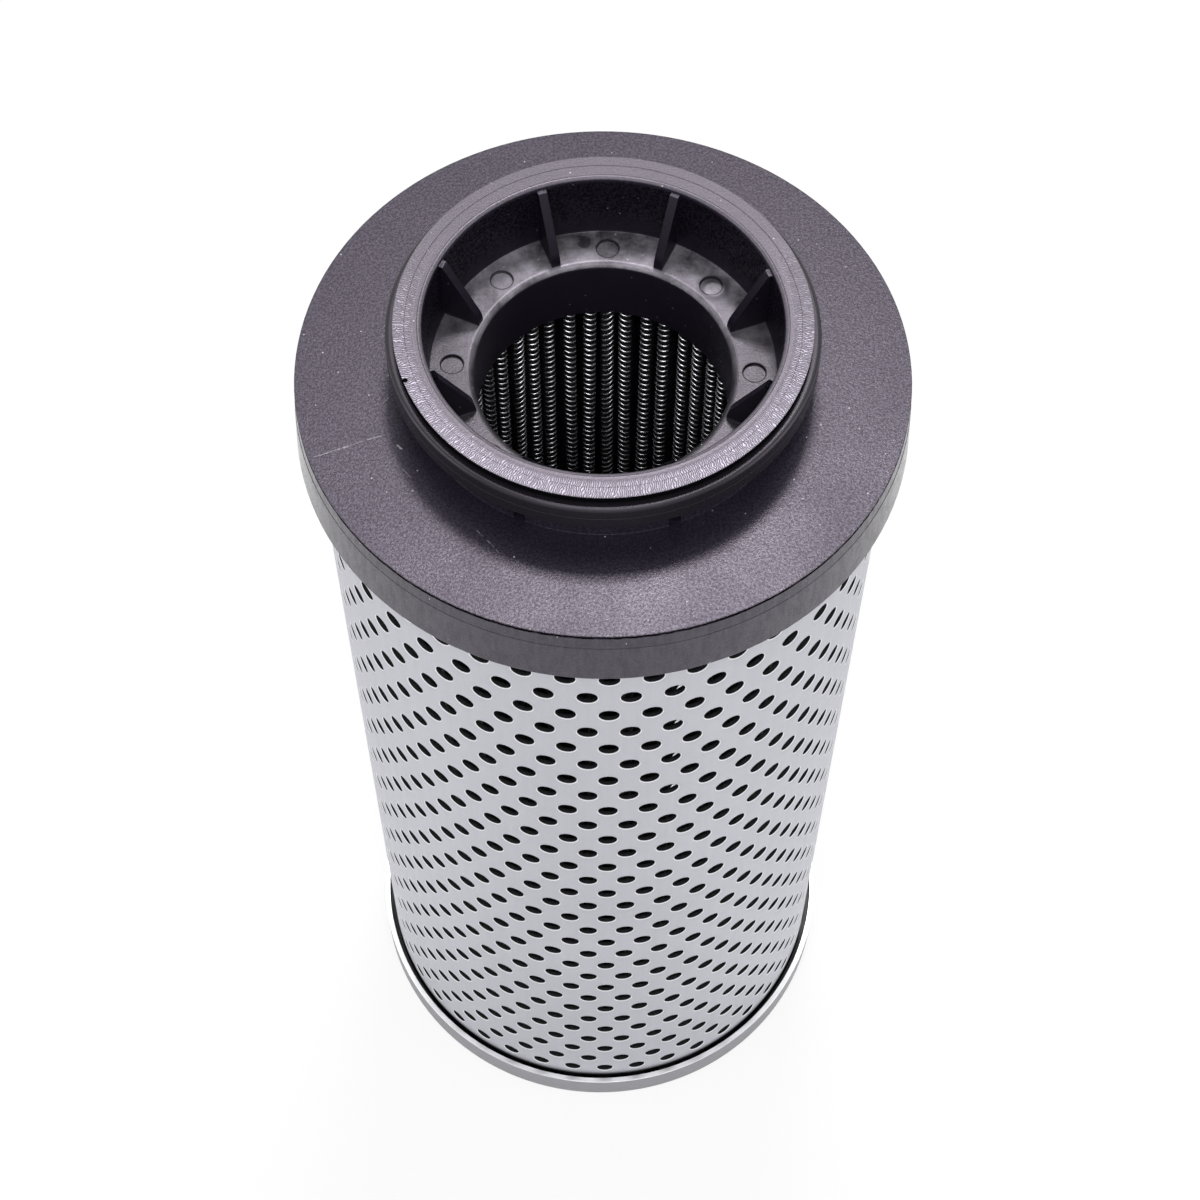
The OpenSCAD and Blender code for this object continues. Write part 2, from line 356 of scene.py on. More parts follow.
# Grains of dust on the disc, a nick in the flange painted black as its shade, and two stains on the ledge, in
# millimetres
DUST = ((-34.1, 6.1), (-36.9, -1.0), (-31.3, -18.5), (0.4, -27.6), (-20.1, -31.5), (34.0, -6.5), (30.0, -9.3))
NICK = (-26.4, -10.2)
STAIN = (15.7, 14.0)
BLOT = (-2.6, 22.2)

# Dull black for painted shade, and for a few dark marks
SHADE_AND_MARK_BLACK = (0.003, 0.003, 0.004, 1.0)
DUST_GREY = (0.7, 0.7, 0.7, 1.0)
# Painted highlight on the punched lip round each hole
LIP_HIGHLIGHT = (0.88, 0.88, 0.9, 1.0)
FLEECE_WHITE = (0.8, 0.8, 0.76, 1.0)
GLASS_WHITE = (0.86, 0.86, 0.84, 1.0)


def four(shade):
    return (shade[0], shade[1], shade[2], 1.0)


def cap_material(settings):
    """Dark moulded plastic: leathery grain, single scratches, dust, a tooled rim and a smudged ledge, with painted
    shade inside the neck, under the flange and round marks, and painted light on the rim's front and the ledge's
    back.
    """
    f = Finish("moulded_plastic")
    radius, angle, z = f.polar()
    x, y = f.axes()[:2]
    cloud = f.noise(90, 4, 0.6)
    grain = f.noise(3400, 3, 0.6)
    fine = f.noise(6000, 2, 0.5)
    broken = f.noise(900, 2, 0.6)
    wander = (f.noise(260, 1, 0.5) - 0.5) * 0.5 * MM

    # The rim's face: chatter marks across its outer part, drawn only on the front half and lighter towards the
    # front as a painted highlight, and fine turned circles
    rim_face = z.above(RIM_TOP - 0.3 * MM, 0.1 * MM)
    ripple = ((angle * settings.strokes + broken * 22.0 + radius * 2600).wave() * 0.5 + 0.5) * (broken * 1.9)
    # Painted highlight: the tooled band is drawn only on the front half of the rim, where the light catches it
    cut = radius.between(26.2 * MM, 28.75 * MM, 0.5 * MM) * rim_face * (1 - y.above(3 * MM, 13 * MM))
    tooled = ripple * cut
    outer_circle = (radius + wander * 0.3).between(26.95 * MM, 27.05 * MM, 0.03 * MM)
    inner_circle = radius.between(25.25 * MM, 25.33 * MM, 0.03 * MM)
    circles = (outer_circle + inner_circle) * rim_face

    # The ledge inside the neck: smudges, painted light that makes its back half lighter, and a painted shade
    # outline round each ejector mark
    ledge = (1 - radius.above(NECK_WALL - 0.4 * MM, 0.08 * MM)) * z.between(
        DISC_TOP - 0.6 * MM, DISC_TOP + 0.1 * MM, 0.05 * MM)
    smudge = f.noise(230, 4, 0.65)
    marks = (angle - FIRST_MARK) / MARK_STEP
    turn = marks.maths("PINGPONG", marks, 0.5) * MARK_STEP
    apart = radius * radius + MARK_RADIUS ** 2 - radius * turn.maths("COSINE", turn) * (2 * MARK_RADIUS)
    # Painted shade: a dark outline round each recessed ejector mark
    outline = apart.between((MARK_SIZE - 0.1 * MM) ** 2, (MARK_SIZE + 0.1 * MM) ** 2, (0.3 * MM) ** 2) * ledge
    stain = f.spot(x + wander * 3, y + wander * 3, STAIN, 2.4) - f.spot(x, y, STAIN, 1.35) * 1.8
    stain = stain + f.spot(x + wander * 3, y + wander * 2, BLOT, 1.0)

    # Marks of use on the disc
    flat = radius.above(27.5 * MM, 0.2 * MM) * z.between(DISC_TOP - 0.2 * MM, DISC_TOP + 0.2 * MM, 0.05 * MM)
    scratches = 0.0
    for start, end, width, strength in SCRATCHES:
        scratches = f.streak(x + wander, y + wander, start, end, width) * strength + scratches
    scratches = scratches * flat * broken.above(0.42, 0.1)
    dust = f.specks(420, 0.045)
    for place in DUST:
        dust = dust + f.spot(x, y, place, 0.11) * flat

    # Dull black: painted shade under the flange, in the parting line, in the nick, inside the neck and the bore
    # and round the ejector marks; and real dark marks: turned circles, pits and scuffs
    ragged = z + (broken - 0.5) * 0.35 * MM
    skirt = radius.above(SKIRT_WALL - 1.7 * MM, 0.2 * MM) * (1 - z.above(DISC_TOP - 0.3 * MM, 0.2 * MM))
    # Painted shade on the flange's side and in the gap down to the seal
    under_rim = radius.above(FLANGE - 0.25 * MM, 0.08 * MM) * z.between(
        SEAL_LOW.z, RIM_TOP - 0.12 * MM, 0.05 * MM)
    # Painted shade in the parting line's groove, with a ragged edge like flash
    parting = radius.above(SKIRT_WALL - 1.2 * MM, 0.1 * MM) * ragged.between(EDGE_LOW, EDGE_TOP, 0.05 * MM)
    # The nick: painted black as its shade
    nick = f.spot(x, y, NICK, 0.38) * z.above(SEAL_HIGH.z, 0.1 * MM)
    # Painted shade inside the neck: its wall, the ribs' upper ends in the front half, and the bore
    neck_wall = (1 - radius.above(NECK_WALL + 0.25 * MM, 0.1 * MM)) * z.between(
        DISC_TOP + 0.3 * MM, RIM_TOP - 0.8 * MM, 0.2 * MM)
    rib_tips = (1 - radius.above(NECK_WALL - 0.05 * MM, 0.05 * MM)) * z.between(
        RIM_TOP - 1.0 * MM, RIM_TOP - 0.62 * MM, 0.05 * MM) * (1 - y.above(0.0, 2 * MM))
    bore = (1 - radius.above(BORE_WALL + 0.3 * MM, 0.1 * MM)) * (1 - z.above(DISC_TOP - 0.8 * MM, 0.3 * MM))
    pits = f.noise(2600, 2, 0.7).above(0.5, 0.12) * radius.above(NECK_WALL - 0.35 * MM, 0.1 * MM) * (1 - rim_face)
    scuffs = f.noise(1.0, 4, 0.7, f.stretched((1100, 1100, 260))).above(0.52, 0.14) * skirt
    painted_shade_and_marks = under_rim + parting * 0.9 + nick + outline * 0.7 + neck_wall * 0.5 + rib_tips * 0.9 + bore * 0.3
    painted_shade_and_marks = (painted_shade_and_marks + circles * 0.4 + pits * (0.4 - skirt * 0.3) + scuffs * 0.17).most(1.0)

    shade = 0.8 + cloud * 0.4 + (grain - 0.5) * 0.5 + (fine - 0.5) * 0.35
    # Painted highlight: the rim's tooled band lighter towards the front
    front = 1 - y.above(-12 * MM, 10 * MM)
    tooled_and_lit = 0.6 + cut * (front - 0.1) + tooled * 6.0 + (grain - 0.5) * 1.2 + cloud * 0.3
    # Painted light: the ledge lighter on its back half
    lit_back = 0.35 + y.above(7 * MM, 11 * MM) * 1.9
    smudged_and_lit = ((smudge - 0.3).least(0.02) * 5.0 + (grain - 0.5) * 0.5) * lit_back * (1 - stain * 0.7)
    colour_now = f.blend(f.tint(four(settings.plastic), shade), f.tint(four(settings.rim), tooled_and_lit), rim_face)
    colour_now = f.blend(colour_now, f.tint(four(settings.ledge), smudged_and_lit), ledge)
    colour_now = f.blend(colour_now, four(settings.worn), scratches)
    colour_now = f.blend(colour_now, DUST_GREY, dust * 0.7)
    rough = 0.35 + (cloud - 0.5) * 0.2 + (grain - 0.5) * 0.3 + cut * 0.1 - skirt * 0.22
    height = grain * 0.6 + fine * 0.1 + cloud * 0.8 + tooled * 4.0 - circles
    return f.close(painted_shade_and_marks,
                   Base_Color=colour_now,
                   Roughness=rough.least(0.12),
                   Specular_IOR_Level=0.6,
                   Specular_Tint=(0.95, 0.85, 1.0, 1.0),
                   Normal=f.bump(height, 0.045 * MM, f.rounded(0.16 * MM)))


def seal_material(settings):
    """Satin nitrile rubber with a fine mould line round the middle of its outer wall."""
    f = Finish("nitrile_rubber")
    radius, _, z = f.polar()
    grain = f.noise(3000, 3, 0.6)
    bloom = f.noise(160, 3, 0.5)
    middle = (SEAL_LOW.z + SEAL_HIGH.z) / 2
    outside = radius.above(SEAL_HIGH.x - 0.4 * MM, 0.1 * MM)
    line = z.between(middle - 0.12 * MM, middle + 0.12 * MM, 0.05 * MM) * outside
    shade = 0.85 + bloom * 0.3 + (grain - 0.5) * 0.2 + line * 0.4
    return f.close(Base_Color=f.tint(four(settings.rubber), shade),
                   Roughness=0.22 + bloom * 0.08,
                   Specular_IOR_Level=0.4,
                   Specular_Tint=(0.95, 0.86, 1.0, 1.0),
                   Normal=f.bump(grain * 0.3 + line * 2.0, 0.02 * MM))


def tube_material(settings):
    """Matt tinned sheet: fine grain, a painted highlight on the lip round each hole, painted shade on the holes'
    walls and the sheet's inside, and painted shade at the foot of the wall.
    """
    f = Finish("matt_tinned_sheet")
    radius, _, z = f.polar()
    grain = f.noise(5200, 2, 0.5)
    cloud = f.noise(60, 3, 0.5)
    drawn = f.noise(1.0, 3, 0.5, f.stretched((900, 900, 25)))
    # Painted highlight: the lip round each hole near white
    lip = radius.between(settings.radius - 0.12 * MM, settings.radius - 0.045 * MM, 0.02 * MM)
    # Painted shade: the holes' walls and the sheet's inside dark, and dull black in part
    deep_shade = 1 - radius.above(settings.radius - 0.15 * MM, 0.03 * MM)
    # Painted shade: the wall dull black just above the foot's rim
    shaded = 1 - z.above(FOOT_HIGH.z + 0.1 * MM, 0.9 * MM)
    shade = 0.9 + cloud * 0.12 + (grain - 0.5) * 0.24 + (drawn - 0.5) * 0.1
    colour_now = f.blend(f.tint(four(settings.metal), shade), LIP_HIGHLIGHT, lip)
    colour_now = f.blend(colour_now, four(settings.shadow), deep_shade)
    return f.close((shaded * 0.97 + deep_shade * 0.8).most(0.97),
                   Base_Color=colour_now,
                   Metallic=0.2 - deep_shade * 0.2,
                   Roughness=0.5 + (cloud - 0.5) * 0.14 + (grain - 0.5) * 0.1,
                   Specular_IOR_Level=0.5,
                   Normal=f.bump(grain * 0.35 + drawn * 0.3, 0.02 * MM))


def foot_material(settings):
    """Pressed sheet with circular draw marks, small dull spots, a bright edge on top of its rim that is also a
    painted highlight, and painted shade inside the rim.
    """
    f = Finish("bright_pressed_sheet")
    radius, angle, z = f.polar()
    grain = f.noise(4200, 2, 0.5)
    spots = f.noise(700, 3, 0.6)
    level = f.add("ShaderNodeCombineXYZ", {}, {0: radius * 2600, 1: z * 2600, 2: angle * 3})
    drawn = f.noise(1.0, 3, 0.6, level)
    # The crest: the sheet's bright edge, near-white and mirror-like as a painted highlight along the rim's rounded
    # top
    crest = z.above(FOOT_HIGH.z - 0.14 * MM, 0.08 * MM)
    # Painted shade: dull black inside the rim, in the gap round the tube
    inside = (1 - radius.above(FOOT_HIGH.x - 1.05 * MM, 0.08 * MM)) * z.between(
        2 * MM, FOOT_HIGH.z - 0.7 * MM, 0.3 * MM)
    shade = 0.86 + spots * 0.2 + (drawn - 0.5) * 0.18 + (grain - 0.5) * 0.12
    return f.close(inside * 0.95,
                   Base_Color=f.blend(f.tint(four(settings.metal), shade), four(settings.crest), crest),
                   Metallic=0.6 + crest * 0.4,
                   Roughness=0.36 + spots * 0.12 + (drawn - 0.5) * 0.12 - crest * 0.1,
                   Normal=f.bump(drawn * 0.5 + grain * 0.3, 0.02 * MM, f.rounded(0.14 * MM)))


def potting_material(settings):
    """Dark cured adhesive, smooth with a slow swell."""
    f = Finish("cured_potting")
    swell = f.noise(260, 2, 0.4)
    grain = f.noise(2400, 2, 0.5)
    return f.close(Base_Color=f.tint(four(settings.potting), 0.8 + swell * 0.4 + (grain - 0.5) * 0.2),
                   Roughness=0.3 + swell * 0.2,
                   Normal=f.bump(swell * 0.9 + grain * 0.1, 0.1 * MM))


def wire_material(settings):
    """Drawn wire with darker streaks: painted dull black as shade where it runs down between the folds, so that
    only the crowns stay bright.
    """
    f = Finish("drawn_wire")
    radius = f.polar()[0]
    patch = f.noise(240, 3, 0.6)
    grain = f.noise(5200, 2, 0.5)
    tall = f.noise(1.0, 2, 0.5, f.stretched((700, 700, 20)))
    shade = 0.9 + patch * 0.5 + (grain - 0.5) * 0.3
    # Painted shade on the wires where they run down between the folds
    deep_shade = radius.above(settings.inner + 0.52 * MM, 0.36 * MM)
    return f.close((deep_shade * 0.97 + tall.above(0.6, 0.05) * 0.4).most(0.97),
                   Base_Color=f.tint(four(settings.wire_metal), shade),
                   Metallic=0.85,
                   Roughness=0.24 + (patch - 0.5) * 0.2)


def mesh_material(name, settings, gleam):
    """Woven wire cloth seen as a skin: crossing wires, dimmed by a small gleam, over a dark ground, both painted
    shade, on the piece's own UV in metres.
    """
    f = Finish(name)
    along = f.add("ShaderNodeUVMap", {"uv_map": "unfolded"}, {})
    u = f.add("ShaderNodeSeparateXYZ", {}, {"Vector": along}, "X")
    v = u.other("Y")
    turns = 2 * math.pi / settings.wire_pitch
    warp = ((u * turns).wave() * 0.5 + 0.5) ** 3.0
    weft = ((v * turns).wave() * 0.5 + 0.5) ** 3.0
    wires = warp.least(weft)
    grain = f.noise(3000, 2, 0.5)
    metal = f.tint(four(settings.wire_metal), 0.5 + grain * 0.5)
    return f.close(Base_Color=f.blend(four(settings.shade), metal, wires * gleam),
                   Metallic=wires * 0.8,
                   Roughness=0.62 - wires * 0.25,
                   Normal=f.bump(wires, 0.12 * MM))


def felt_material(name, shade):
    """Pale non-woven felt: short crossing fibres and a soft surface."""
    f = Finish(name)
    fibre = f.noise(1.0, 3, 0.6, f.stretched((1800, 1800, 260)))
    crossing = f.noise(1.0, 3, 0.6, f.stretched((300, 300, 2200)))
    weave = (fibre + crossing) * 0.5
    return f.close(Base_Color=f.tint(shade, 0.8 + weave * 0.35),
                   Roughness=0.85,
                   Normal=f.bump(weave, 0.08 * MM))


# Shapes

def make_piece(name, points, faces, material, normals=None, uv=None):
    """A mesh piece that rides on the element, with smooth shading."""
    mesh = bpy.data.meshes.new(name)
    faces = np.asarray(faces, np.int32)
    sides = faces.shape[1]
    mesh.vertices.add(len(points))
    mesh.vertices.foreach_set("co", np.asarray(points, np.float32).ravel())
    mesh.loops.add(faces.size)
    mesh.loops.foreach_set("vertex_index", faces.ravel())
    mesh.polygons.add(len(faces))
    mesh.polygons.foreach_set("loop_start", np.arange(0, faces.size, sides, dtype=np.int32))
    mesh.polygons.foreach_set("use_smooth", np.ones(len(faces), bool))
    mesh.update(calc_edges=True)
    if uv is not None:
        layer = mesh.uv_layers.new(name="unfolded")
        layer.data.foreach_set("uv", np.asarray(uv, np.float32)[faces.ravel()].ravel())
    if normals is not None:
        mesh.normals_split_custom_set_from_vertices(np.asarray(normals, np.float32).tolist())
    mesh.materials.append(material)
    piece = bpy.data.objects.new(name, mesh)
    bpy.context.scene.collection.objects.link(piece)
    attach(piece, "root")
    return piece


def welded(points, faces, *extras):
    """Joins points that lie within a tenth of a micrometre of each other."""
    keys = np.round(points / 1e-7).astype(np.int64)
    _, first, back = np.unique(keys, axis=0, return_index=True, return_inverse=True)
    return (points[first], back.ravel()[faces]) + tuple(extra[first] for extra in extras)


def cell_outline(half, side, tip):
    """16 points round a six-sided cell, from its right edge's middle, counted the same way as the hole's.

    The upright edges are at +-half and reach to +-side; the upper and lower tips are at +-tip."""
    up = [(half, 0), (half, side), (half * 2 / 3, side + (tip - side) / 3),
          (half / 3, side + (tip - side) * 2 / 3), (0, tip)]
    quarter = np.array(up, float)
    left = quarter[-2::-1] * (-1, 1)
    upper = np.vstack([quarter, left])
    lower = -upper[1:-1]
    return np.vstack([upper, lower])


def hole_grid(s, low, high):
    """The staggered holes of the unrolled sheet: their centres by row and column, and the cell's sizes."""
    columns = int(2 * math.pi * (s.radius - s.sheet / 2) / s.spacing)
    rise = s.spacing * math.sqrt(3) / 2
    rows = int((high - low - 2 * s.margin) / rise) + 1
    across = 2 * math.pi * s.radius / columns
    col, row = np.meshgrid(np.arange(columns), np.arange(rows))
    centre = np.stack([(col + np.where(row % 2 == 0, 0.5, 0.0)) * across, low + s.margin + rise * row], -1)
    return centre, across, rise


def punch_burrs(s, low, high):
    """Points and faces of small nibs: a worn punch leaves one in each of four holes near the top of one column, in
    every second row.

    Each is a wedge of the sheet with two corners on the hole's upper edge, right of its middle, and its
    point in the hole. Outer corners lie just under the sheet's face and inner ones half its thickness deeper."""
    centre = hole_grid(s, low, high)[0]
    rows = len(centre)
    middle = centre[rows - 9:rows - 2:2, 1]
    edge = s.hole / 2 + s.lip * 0.6
    lean = math.radians(58)
    half = s.burr_width / 2 / edge
    flat = np.array([edge * np.array([math.cos(lean + half), math.sin(lean + half)]),
                     edge * np.array([math.cos(lean - half), math.sin(lean - half)]),
                     (s.hole / 2 - s.burr) * np.array([math.cos(lean), math.sin(lean)])])
    flat = middle[:, None, None, :] + flat[None, None]
    flat = np.broadcast_to(flat, (len(middle), 2, 3, 2))
    depth = np.array([[0.0, 0.0, 0.14], [0.5, 0.5, 0.4]])[None] * MM
    around = FRONT + s.turn + flat[..., 0] / s.radius
    points = np.stack([(s.radius - depth) * np.cos(around), (s.radius - depth) * np.sin(around), flat[..., 1]], -1)
    wedge = np.array([[0, 2, 1], [3, 4, 5], [0, 1, 4], [0, 4, 3], [1, 2, 5], [1, 5, 4], [2, 0, 3], [2, 3, 5]])
    faces = wedge[None] + 6 * np.arange(len(middle))[:, None, None]
    return points.reshape(-1, 3), faces.reshape(-1, 3)


def punched_tube(s, low, high):
    """Points, faces and normals of the rolled sheet.

    Each hole sits in a six-sided cell of the unrolled sheet, and the surface runs in rings from the cell's
    outline to the lip, the hole's wall, the inner edge and the outline again. A point (u, v) at depth d goes
    to the angle turn + u / radius, the radius less d, and the height v."""
    sides = 16
    centre, across, rise = hole_grid(s, low, high)
    rows, columns = centre.shape[:2]
    side = (rise ** 2 - (across / 2) ** 2) / (2 * rise)
    outline = cell_outline(across / 2, side, rise - side)
    turns = np.arange(sides) * 2 * np.pi / sides
    circle = np.stack([np.cos(turns), np.sin(turns)], 1)
    hole = circle * s.hole / 2
    ring_shapes = [outline, hole + circle * s.lip, hole, hole, outline]
    depths = np.array([0, 0, s.lip_depth, s.sheet, s.sheet])
    flat = np.stack([centre[:, :, None, :] + ring for ring in ring_shapes], 2)
    edge = 0.05 * MM
    flat[..., 1] = np.clip(flat[..., 1], low + edge, high - edge)
    depth = np.broadcast_to(depths[None, None, :, None], flat.shape[:-1])
    index = np.arange(flat[..., 0].size).reshape(flat.shape[:-1])
    near, far = index, np.roll(index, -1, axis=3)
    quads = np.stack([near[:, :, :-1], far[:, :, :-1], far[:, :, 1:], near[:, :, 1:]], -1).reshape(-1, 4)

    # Plain strips from the outermost rows to the ends of the tube, and the ends themselves
    flats, depth_list, faces = [flat.reshape(-1, 2)], [depth.ravel()], [quads]
    lower_chain = np.arange(9, 16)
    upper_chain = np.array([7, 6, 5, 4, 3, 2, 1])
    count = flat[..., 0].size
    for last, chain, level, sign in ((0, lower_chain, low, 1), (rows - 1, upper_chain, high, -1)):
        outer_chain, inner_chain = index[last, :, 0][:, chain], index[last, :, 4][:, chain]
        ends = flat[last, :, 0][:, chain].copy()
        ends[..., 1] = level
        outer_end = count + np.arange(ends[..., 0].size).reshape(outer_chain.shape)
        inner_end = outer_end + ends[..., 0].size
        count += 2 * ends[..., 0].size
        flats += [ends.reshape(-1, 2)] * 2
        depth_list += [np.zeros(ends[..., 0].size), np.full(ends[..., 0].size, s.sheet)]
        for a, b in ((outer_end, outer_chain), (inner_end, outer_end), (inner_chain, inner_end)):
            strip = np.stack([a[:, :-1], a[:, 1:], b[:, 1:], b[:, :-1]], -1).reshape(-1, 4)
            faces.append(strip[:, ::sign])
    flat = np.vstack(flats)
    depth = np.concatenate(depth_list)
    angle = FRONT + s.turn + flat[:, 0] / s.radius
    points = np.stack([(s.radius - depth) * np.cos(angle), (s.radius - depth) * np.sin(angle), flat[:, 1]], 1)

    # Normals: straight out on the sheet, leaning into the hole on the lip and its wall
    lean = np.array([0.0, 0.12, 1.0, 1.35, math.pi])
    out = np.stack([np.cos(angle), np.sin(angle), np.zeros_like(angle)], 1)
    tangent = np.stack([-np.sin(angle), np.cos(angle), np.zeros_like(angle)], 1)
    inward = np.zeros((len(points), 2))
    tilt = np.where(depth > s.sheet / 2, math.pi, 0.0)
    cells = rows * columns * 5 * sides
    inward[:cells] = np.broadcast_to(-circle, (rows, columns, 5, sides, 2)).reshape(-1, 2)
    tilt[:cells] = np.broadcast_to(lean[None, None, :, None], (rows, columns, 5, sides)).ravel()
    toward = tangent * inward[:, :1] + np.array([0, 0, 1.0]) * inward[:, 1:]
    normals = out * np.cos(tilt)[:, None] + toward * np.sin(tilt)[:, None]
    return welded(points, np.vstack(faces), normals)


def smooth_wander(seed, heights, count, reach):
    """Slow sideways drift of each fold along the height: one sine with its own phase, and a fixed offset."""
    chance = np.random.default_rng(seed)
    offset = chance.uniform(-1, 1, count)
    phase = chance.uniform(0, 2 * np.pi, count)
    waves = chance.uniform(0.6, 1.6, count)
    along = (heights - heights[0]) / (heights[-1] - heights[0])
    swing = np.sin(2 * np.pi * waves * along[:, None] + phase)
    return reach * (0.7 * offset + 0.3 * swing)


def fold_frame(s, heights):
    """Centres of all folds, inner and outer in turn, and the direction square to the leg after each.

    A leg touches its two fold circles crosswise, so its slant against the line between their centres is
    asin((fold + fold + stack) / distance). Everything is an array over heights and folds."""
    stack = 2 * s.mesh + 2 * s.fleece + s.medium
    wide = s.fold + stack
    inner = s.inner + wide
    outer = s.outer - wide
    half = np.pi / s.pleats
    folds = np.arange(2 * s.pleats)
    is_inner = folds % 2 == 0
    sway = np.where(is_inner, smooth_wander(11, heights, 2 * s.pleats, s.sway),
                    smooth_wander(12, heights, 2 * s.pleats, s.sway * 1.2))
    shrink = np.abs(smooth_wander(13, heights, 2 * s.pleats, s.sway * 0.8))
    distance = np.where(is_inner, inner + shrink, outer - shrink)
    angle = folds * half + sway / np.where(is_inner, inner, outer)
    centres = np.stack([distance * np.cos(angle), distance * np.sin(angle)], -1)
    span = np.roll(centres, -1, axis=1) - centres
    slant = np.arcsin((2 * s.fold + stack) / np.linalg.norm(span, axis=-1))
    heading = np.arctan2(span[..., 1], span[..., 0])
    square = heading + np.where(is_inner, -slant, slant) + np.pi / 2
    return centres, square, is_inner, stack


def folded_line(s, frame_now, depth, steps):
    """Points of the folded sheet at one depth in the stack: an arc at every fold, joined by straight legs."""
    centres, square, is_inner, stack = frame_now
    before = np.roll(square, 1, axis=1)
    turn_in = (before - square) % (2 * np.pi)
    start = np.where(is_inner, square + turn_in, before - np.pi)
    finish = np.where(is_inner, square, before - np.pi + (square - before) % (2 * np.pi))
    radius = np.where(is_inner, s.fold + depth, s.fold + stack - depth)
    share = np.linspace(0, 1, steps + 1)
    angle = start[..., None] + (finish - start)[..., None] * share
    arc = np.stack([np.cos(angle), np.sin(angle)], -1) * radius[:, None, None]
    return (centres[:, :, None, :] + arc).reshape(len(centres), -1, 2)


def pleated_layer(s, near, far, rows=14, steps=6):
    """A closed folded sheet between two depths: out along one face, over the top, and back down the other."""
    heights = np.linspace(PACK_LOW.z, PACK_HIGH.z, rows)
    frame_now = fold_frame(s, heights)
    loops = [folded_line(s, frame_now, near, steps), folded_line(s, frame_now, far, steps)[::-1]]
    tall = np.concatenate([heights, heights[::-1]])
    plan = np.concatenate(loops)
    points = np.concatenate([plan, np.broadcast_to(tall[:, None, None], plan.shape[:2] + (1,))], -1)
    level, around = plan.shape[:2]
    index = np.arange(level * around).reshape(level, around)
    right, up = np.roll(index, -1, axis=1), np.roll(index, -1, axis=0)
    corner = np.roll(right, -1, axis=0)
    faces = np.stack([index, right, corner, up], -1).reshape(-1, 4)
    run = np.linalg.norm(np.diff(plan, axis=1, append=plan[:, :1]), axis=-1)
    unfolded = np.stack([np.cumsum(run, axis=1) - run, np.broadcast_to(tall[:, None], run.shape)], -1)
    return points.reshape(-1, 3), faces, unfolded.reshape(-1, 2)


def wire_hoops(s, low, high, steps=6):
    """Half-round wires over the inner folds: each follows its fold's arc and a little of both legs.

    The section at a path point with outward direction n is wire / 2 * (cos t * up + sin t * n), t from 0 to
    half a turn, so the wire is half sunk in the mesh's own surface."""
    count = int((high - low) / s.wire_pitch)
    heights = low + (np.arange(count) + 0.5) * s.wire_pitch
    whole = np.linspace(PACK_LOW.z, PACK_HIGH.z, 14)
    centres, square, is_inner, stack = fold_frame(s, whole)
    picked = np.where(is_inner)[0]
    before = np.roll(square, 1, axis=1)

    def at(values):
        flat = values.reshape(len(whole), -1)
        out = np.stack([np.interp(heights, whole, flat[:, k]) for k in range(flat.shape[1])], 1)
        return out.reshape((count,) + values.shape[1:])

    middle = at(centres[:, picked])
    leave = at(np.unwrap(square[:, picked], axis=0))
    arrive = leave + at((before[:, picked] - square[:, picked]) % (2 * np.pi))
    share = np.linspace(0, 1, steps + 1)
    angle = arrive[..., None] + (leave - arrive)[..., None] * share
    n = np.stack([np.cos(angle), np.sin(angle)], -1)
    path = middle[:, :, None, :] + n * (s.fold + stack)
    tail_in = np.stack([-np.sin(arrive), np.cos(arrive)], -1) * s.flank
    tail_out = np.stack([np.sin(leave), -np.cos(leave)], -1) * s.flank
    path = np.concatenate([path[:, :, :1] + tail_in[:, :, None], path,
                           path[:, :, -1:] + tail_out[:, :, None]], 2)
    n = np.concatenate([n[:, :, :1], n, n[:, :, -1:]], 2)
    t = np.linspace(0, np.pi, 4)
    flat = path[:, :, :, None, :] + n[:, :, :, None, :] * (np.sin(t) * s.wire / 2)[:, None]
    climb = np.random.default_rng(14).uniform(-s.slant, s.slant, len(picked))[:, None]
    rise = heights[:, None, None] + climb * (np.arange(path.shape[2]) / (path.shape[2] - 1) - 0.5)
    tall = rise[..., None] + np.broadcast_to(np.cos(t) * s.wire / 2, flat.shape[:-1])
    points = np.concatenate([flat, tall[..., None]], -1)
    index = np.arange(tall.size).reshape(tall.shape)
    faces = np.stack([index[:, :, :-1, :-1], index[:, :, :-1, 1:], index[:, :, 1:, 1:], index[:, :, 1:, :-1]],
                     -1).reshape(-1, 4)
    return points.reshape(-1, 3), faces


def outward(points, faces):
    """Turns a closed shape's faces outwards: its signed volume, the sum of corner products, must be positive."""
    a, b, c = (points[faces[:, k]] for k in (0, 1, 2))
    d = points[faces[:, 3]]
    volume = np.einsum("ij,ij->", a, np.cross(b, c)) + np.einsum("ij,ij->", a, np.cross(c, d))
    return faces if volume > 0 else faces[:, ::-1]


def cover(node, material):
    """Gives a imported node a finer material."""
    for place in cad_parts[node].material_slots:
        place.material = material


# Operators

# Lamps: name, place, height on the axis that they point at, width, height, and power in watts
LAMPS = (("overhead", (0, 0.35, 0.95), 0.18, 0.9, 0.7, 1.4),
         ("overhead_core", (0.04, 0.34, 0.95), 0.18, 0.15, 0.15, 3.6),
         ("high_front", (0, -0.5, 0.95), 0.12, 0.6, 0.5, 3.0),
         ("front_fill", (0, -1.1, 0.5), 0.1, 0.8, 0.5, 1.3),
         ("left_side", (-0.9, -0.2, 0.35), 0.1, 0.6, 0.5, 1.7),
         ("right_side", (0.9, -0.2, 0.35), 0.1, 0.6, 0.5, 1.7))


